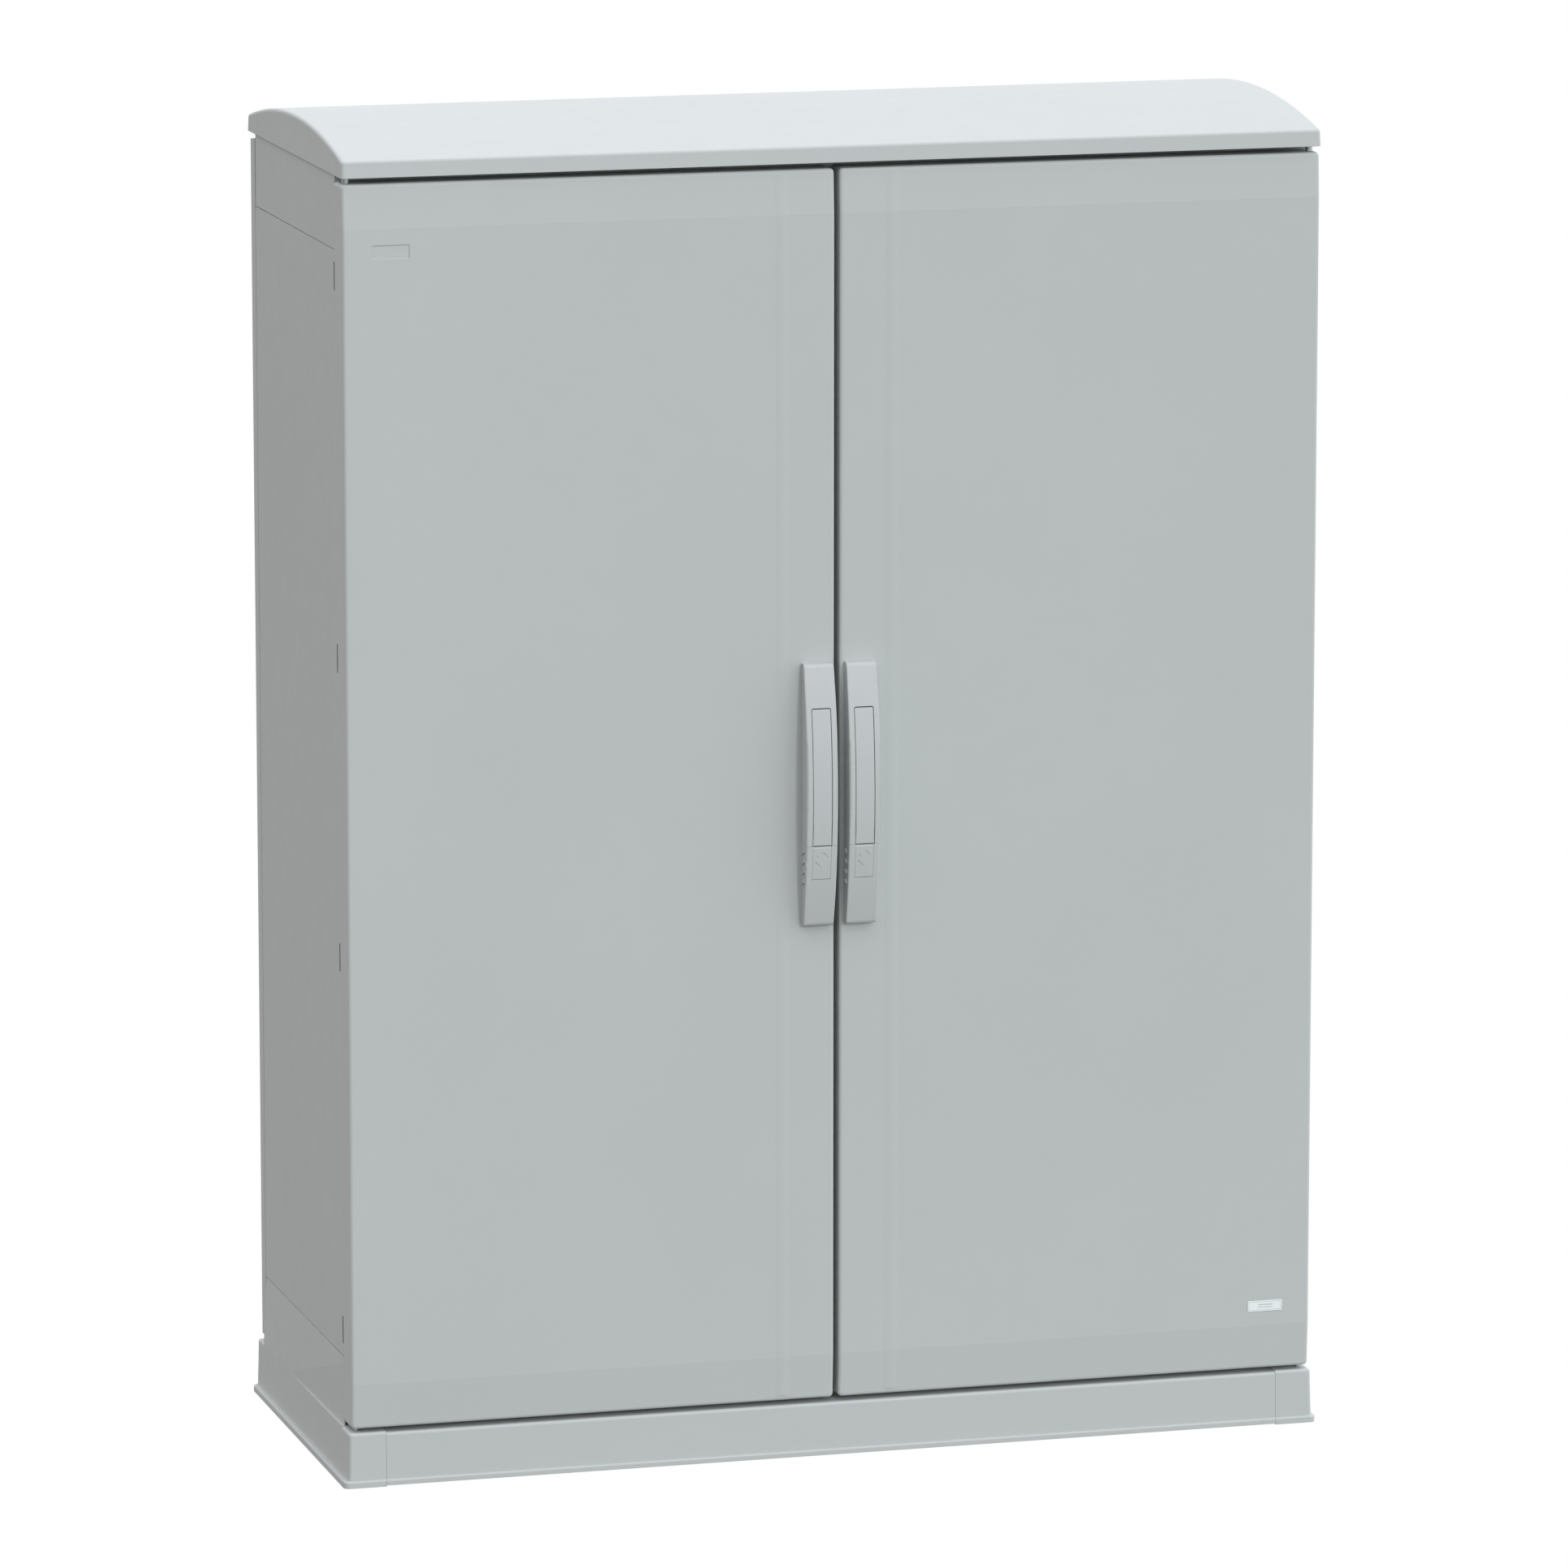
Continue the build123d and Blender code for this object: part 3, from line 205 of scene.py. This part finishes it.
GRP = (0.560, 0.575, 0.560)
M = {
    "grp_grey": moulded("moulded_polyester_grey", GRP),
    "handle_plastic": moulded("handle_polyamide_grey", (0.566, 0.580, 0.568), rough=(0.42, 0.52), grain=1500.0, grain_depth=0.00004),
    "dark_plastic": moulded("dark_polyamide", (0.050, 0.051, 0.053), variation=0.15, rough=(0.45, 0.6)),
    "bush_plastic": moulded("natural_polyamide", (0.60, 0.605, 0.585), rough=(0.35, 0.45)),
    "rubber": rubber("sealing_rubber", (0.018, 0.018, 0.019)),
    "steel_fasteners": zinc("zinc_plated_fasteners", (0.62, 0.64, 0.66), 0.1, (0.22, 0.34)),
    "zinc_steel": zinc("zinc_plated_steel", (0.58, 0.60, 0.63), 0.25),
    "mounting_plate_steel": zinc("galvanised_sheet", (0.60, 0.62, 0.64), 1.0, (0.3, 0.5)),
    "zinc_diecast": zinc("satin_die_cast", (0.50, 0.50, 0.51), 0.0, (0.38, 0.5)),
    "label_white": moulded("label_white", (0.92, 0.94, 0.92), rough=(0.25, 0.32), grain=2500.0, grain_depth=0.00001),
}

# the label's printed frame and two plain bars, without any text
lt = M["label_white"].node_tree
label_shader = [n for n in lt.nodes if n.type == "BSDF_PRINCIPLED"][0]
label_colour = label_shader.inputs["Base Color"].links[0].from_socket
tc = lt.nodes.new("ShaderNodeTexCoord")
sp = lt.nodes.new("ShaderNodeSeparateXYZ")
lt.links.new(tc.outputs["Generated"], sp.inputs[0])


def band(axis, lo, hi):
    v = sp.outputs[axis]
    return math_node(lt, "MULTIPLY", math_node(lt, "GREATER_THAN", v, lo), math_node(lt, "LESS_THAN", v, hi))


outer = math_node(lt, "MULTIPLY", band(0, 0.035, 0.965), band(2, 0.11, 0.89))
inner = math_node(lt, "MULTIPLY", band(0, 0.047, 0.953), band(2, 0.15, 0.85))
frame_line = math_node(lt, "SUBTRACT", outer, inner)
bars = math_node(lt, "MULTIPLY", band(0, 0.30, 0.72), math_node(lt, "ADD", band(2, 0.56, 0.66), band(2, 0.34, 0.42)))
lines = math_node(lt, "ADD", frame_line, bars, clamp=True)
lt.links.new(mix_colour(lt, math_node(lt, "MULTIPLY", lines, 0.55), label_colour, (0.33, 0.36, 0.38)), label_shader.inputs["Base Color"])

slots = {s["node"]: s["material_slot"] for s in frame["record"]["subparts"]}
for name, obj in nodes.items():
    obj.data.materials.clear()
    obj.data.materials.append(M[slots[name]])


# ------------------------------------------------------------------ fasteners and seals
body_of = {n: b for b, members in frame["record"]["behaviour"]["bodies"].items() for n in members}


def islands(obj):
    """World-space vertices of each separate solid in a node."""
    bm = bmesh.new()
    bm.from_mesh(obj.data)
    bmesh.ops.remove_doubles(bm, verts=bm.verts, dist=1e-6)
    seen, groups = set(), []
    for v in bm.verts:
        if v in seen:
            continue
        stack, group = [v], []
        seen.add(v)
        while stack:
            w = stack.pop()
            group.append(obj.matrix_world @ w.co)
            for e in w.link_edges:
                o = e.other_vert(w)
                if o not in seen:
                    seen.add(o)
                    stack.append(o)
        groups.append(group)
    bm.free()
    return groups


CROSS_L, CROSS_W = 0.56, 0.15
CROSS_A = math.degrees(math.atan2(CROSS_W, CROSS_L))
CROSS_ANGLES = [math.radians(90 * q + a) for q in range(4) for a in (0, CROSS_A, (CROSS_A + 45) / 2, 45, 90 - (CROSS_A + 45) / 2, 90 - CROSS_A)]
HEX_ANGLES = [math.radians(15 * i) for i in range(24)]


def cross_radius(t):
    c, s = max(abs(math.cos(t)), 1e-6), max(abs(math.sin(t)), 1e-6)
    return max(min(CROSS_L / c, CROSS_W / s), min(CROSS_W / c, CROSS_L / s))


def hex_radius(t):
    k = (t + math.pi / 6) % (math.pi / 3) - math.pi / 6
    return math.cos(math.pi / 6) / math.cos(math.pi / 6 - abs(k))


def fastener(bm, foot, axis, rings, angles, turn):
    """Closed body of revolution-like rings; every ring is (height, radius, shape)."""
    side = Vector((1, 0, 0)) if abs(axis.x) < 0.9 else Vector((0, 1, 0))
    u = axis.cross(side).normalized()
    v = axis.cross(u)
    rows = []
    for h, r, shape in rings:
        row = []
        for a in angles:
            rr = r * (cross_radius(a) if shape == "cross" else hex_radius(a) if shape == "hex" else 1.0)
            row.append(bm.verts.new(foot + axis * h + (u * math.cos(a + turn) + v * math.sin(a + turn)) * rr))
        rows.append(row)
    n = len(angles)
    for lo, hi in zip(rows, rows[1:]):
        for i in range(n):
            bm.faces.new((lo[i], lo[(i + 1) % n], hi[(i + 1) % n], hi[i]))
    bm.faces.new(list(reversed(rows[0])))
    bm.faces.new(rows[-1])


def piece_from(bm, name, node, smooth=True):
    bmesh.ops.recalc_face_normals(bm, faces=bm.faces)
    mesh = bpy.data.meshes.new(name)
    bm.to_mesh(mesh)
    bm.free()
    for poly in mesh.polygons:
        poly.use_smooth = smooth
    if smooth:
        mesh.set_sharp_from_angle(angle=math.radians(32))
    obj = bpy.data.objects.new(name, mesh)
    scene.collection.objects.link(obj)
    obj.data.materials.append(M[slots[node]])
    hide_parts(node)
    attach(obj, body_of[node])
    return obj


def detail_screws(node, hexagon=False):
    """Rebuilds each screw with a domed cross-recess head, or a chamfered hexagon head."""
    bm = bmesh.new()
    for k, pts in enumerate(islands(nodes[node])):
        lo = Vector([min(p[i] for p in pts) for i in range(3)])
        hi = Vector([max(p[i] for p in pts) for i in range(3)])
        size = hi - lo
        ax = max(range(3), key=lambda i: size[i])
        mid = (lo + hi) / 2
        across = [i for i in range(3) if i != ax]
        radius = lambda p: math.hypot(p[across[0]] - mid[across[0]], p[across[1]] - mid[across[1]])
        head_r = max(radius(p) for p in pts)
        head = [p[ax] for p in pts if radius(p) > head_r * 0.8]
        shank_r = max(radius(p) for p in pts if radius(p) < head_r * 0.8)
        top_side = abs(sum(head) / len(head) - hi[ax]) < abs(sum(head) / len(head) - lo[ax])
        axis = Vector((0, 0, 0))
        axis[ax] = 1.0 if top_side else -1.0
        face = min(head) if top_side else max(head)
        foot = mid.copy()
        foot[ax] = face
        h = max(head) - min(head)
        length = size[ax] - h
        shank = [(-length, shank_r * 0.55, ""), (-length + shank_r * 0.6, shank_r * 0.96, "")]
        if hexagon:
            rings = shank + [(0, shank_r * 0.96, ""), (0, head_r * 0.86, ""), (0.06 * h, head_r * 0.98, "hex"), (0.84 * h, head_r * 0.98, "hex"),
                             (h, head_r * 0.80, ""), (h, head_r * 0.30, "")]
            fastener(bm, foot, axis, rings, HEX_ANGLES, 0.0)
        else:
            rings = shank + [(0, shank_r * 0.96, ""), (0, head_r * 0.96, ""), (0.08 * h, head_r, ""), (0.35 * h, head_r * 0.99, ""), (0.62 * h, head_r * 0.93, ""),
                             (0.84 * h, head_r * 0.80, ""), (0.97 * h, head_r * 0.66, ""), (h, head_r * 0.60, ""), (0.99 * h, head_r, "cross"),
                             (0.25 * h, head_r * 0.72, "cross")]
            fastener(bm, foot, axis, rings, CROSS_ANGLES, 0.4 + 0.9 * k)
    return piece_from(bm, node + "_detail", node)


for node in ("gland_plate_screws", "rear_panel_screws", "canopy_screws", "centre_post_screws", "hinge_bracket_screws",
             "plinth_cover_screws", "left_handle_screws", "right_handle_screws"):
    detail_screws(node)
detail_screws("mounting_plate_bolts", hexagon=True)


def detail_gasket(node):
    """Door seal with a foot and a rounded bulb, swept round the door with mitred corners."""
    lo, hi = (Vector(c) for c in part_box(node))
    w, t = 0.008, hi.y - lo.y
    # across the width (0 outside, 1 inside) and along the depth (0 at the door, 1 at the frame)
    profile = [(0.0, 0.0), (0.0, 0.20), (0.10, 0.27)]
    profile += [(0.5 - 0.40 * math.cos(math.pi * k / 10), 0.55 + 0.45 * math.sin(math.pi * k / 10)) for k in range(11)]
    profile += [(0.90, 0.27), (1.0, 0.20), (1.0, 0.0)]
    bm = bmesh.new()
    rows = []
    for sx, sz in ((0, 0), (1, 0), (1, 1), (0, 1)):
        row = []
        for a, b in profile:
            x = lo.x + a * w if sx == 0 else hi.x - a * w
            z = lo.z + a * w if sz == 0 else hi.z - a * w
            row.append(bm.verts.new((x, lo.y + b * t, z)))
        rows.append(row)
    n = len(profile)
    for k in range(4):
        one, two = rows[k], rows[(k + 1) % 4]
        for i in range(n):
            bm.faces.new((one[i], one[(i + 1) % n], two[(i + 1) % n], two[i]))
    return piece_from(bm, node + "_detail", node)


detail_gasket("left_door_gasket")
detail_gasket("right_door_gasket")

# small real bevels on the sharp-edged metal and inner plastic parts
for node, width in (("mounting_plate", 0.0006), ("centre_post", 0.0006), ("gland_plate", 0.0004), ("rod_keepers", 0.0008), ("hinge_brackets", 0.0004),
                    ("left_lock_case", 0.0009), ("right_lock_case", 0.0009), ("left_rod_guides", 0.0006), ("right_rod_guides", 0.0006),
                    ("left_top_rod", 0.0005), ("left_bottom_rod", 0.0005), ("right_top_rod", 0.0005), ("right_bottom_rod", 0.0005),
                    ("side_panel_clips", 0.0003), ("label_plate", 0.00015)):
    mod = nodes[node].modifiers.new("edge_rounding", "BEVEL")
    mod.width = width
    mod.segments = 2
    mod.limit_method = "ANGLE"
    mod.angle_limit = math.radians(50)
    mod.harden_normals = False


# ------------------------------------------------------------------ stage
def sheet_mesh(name, points):
    mesh = bpy.data.meshes.new(name)
    mesh.from_pydata(points, [], [tuple(range(len(points)))])
    obj = bpy.data.objects.new(name, mesh)
    scene.collection.objects.link(obj)
    return obj


floor = sheet_mesh("studio_floor", [(-60, -60, -0.0005), (60, -60, -0.0005), (60, 60, -0.0005), (-60, 60, -0.0005)])
pale = bpy.data.materials.new("pale_floor")
pale.use_nodes = True
pt = pale.node_tree
pt.nodes.clear()
emit = pt.nodes.new("ShaderNodeEmission")
emit.inputs["Color"].default_value = (1, 1, 1, 1)
emit.inputs["Strength"].default_value = 1.0
po = pt.nodes.new("ShaderNodeOutputMaterial")
pt.links.new(emit.outputs[0], po.inputs["Surface"])
floor.data.materials.append(pale)
floor.visible_diffuse = False
floor.visible_glossy = False
floor.visible_transmission = False
floor.visible_shadow = False

# A studio that is brightest overhead, even in front and darker on the left.
world = bpy.data.worlds.new("studio")
scene.world = world
world.use_nodes = True
wt = world.node_tree
wt.nodes.clear()
wo = wt.nodes.new("ShaderNodeOutputWorld")
light_bg = wt.nodes.new("ShaderNodeBackground")
white_bg = wt.nodes.new("ShaderNodeBackground")
white_bg.inputs["Color"].default_value = (1, 1, 1, 1)
path = wt.nodes.new("ShaderNodeLightPath")
choose = wt.nodes.new("ShaderNodeMixShader")
wc = wt.nodes.new("ShaderNodeTexCoord")
wt.links.new(path.outputs["Is Camera Ray"], choose.inputs["Fac"])
wt.links.new(light_bg.outputs[0], choose.inputs[1])
wt.links.new(white_bg.outputs[0], choose.inputs[2])
wt.links.new(choose.outputs[0], wo.inputs["Surface"])

# radiance = C0 + C . direction, chosen so that front, left side and top get the right share
SUN_FRONT = 0.16
C0 = (0.72, 0.75, 0.76)
FRONT = (0.814 - SUN_FRONT, 0.855 - SUN_FRONT, 0.877 - SUN_FRONT)
LEFT = (0.513, 0.515, 0.518)
TOP = (1.210, 1.252, 1.317)
CX = tuple(1.5 * (c - v) for c, v in zip(C0, LEFT))
CY = tuple(1.5 * (c - v) for c, v in zip(C0, FRONT))
CZ = tuple(1.5 * (v - c) for c, v in zip(C0, TOP))


def along(vec):
    dot = wt.nodes.new("ShaderNodeVectorMath")
    dot.operation = "DOT_PRODUCT"
    wt.links.new(wc.outputs["Generated"], dot.inputs[0])
    dot.inputs[1].default_value = vec
    return math_node(wt, "ADD", dot.outputs["Value"], 0.0)


comb = wt.nodes.new("ShaderNodeCombineColor")
for i in range(3):
    v = math_node(wt, "MAXIMUM", math_node(wt, "ADD", along((CX[i], CY[i], CZ[i])), C0[i]), 0.02)
    wt.links.new(v, comb.inputs[i])
wt.links.new(comb.outputs[0], light_bg.inputs["Color"])


# a large soft box a little to the right of the camera
key = bpy.data.lights.new("soft_key", "SUN")
key.angle = math.radians(8.0)
key.color = (1.0, 1.0, 1.0)
key_dir = Vector((0.17, -1.0, 0.34)).normalized()
key.energy = SUN_FRONT * math.pi / -key_dir.y
key_obj = bpy.data.objects.new("soft_key", key)
scene.collection.objects.link(key_obj)
key_obj.location = (0.0, 0.0, 4.0)
key_obj.rotation_mode = "QUATERNION"
key_obj.rotation_quaternion = key_dir.to_track_quat("Z", "Y")


# ------------------------------------------------------------------ camera
AZ, EL = math.radians(-15.5494), math.radians(10.5431)
back = Vector((math.sin(AZ) * math.cos(EL), -math.cos(AZ) * math.cos(EL), math.sin(EL)))
cam_data = bpy.data.cameras.new("camera")
cam = bpy.data.objects.new("camera", cam_data)
scene.collection.objects.link(cam)
cam.location = (-2.62363, -9.44074, 2.47480)
cam.rotation_mode = "QUATERNION"
cam.rotation_quaternion = (-back).to_track_quat("-Z", "Y")
cam_data.sensor_width = 36.0
cam_data.lens = 36.0 * 12070.18 / 1932.0
cam_data.clip_start, cam_data.clip_end = 0.1, 100.0
scene.camera = cam
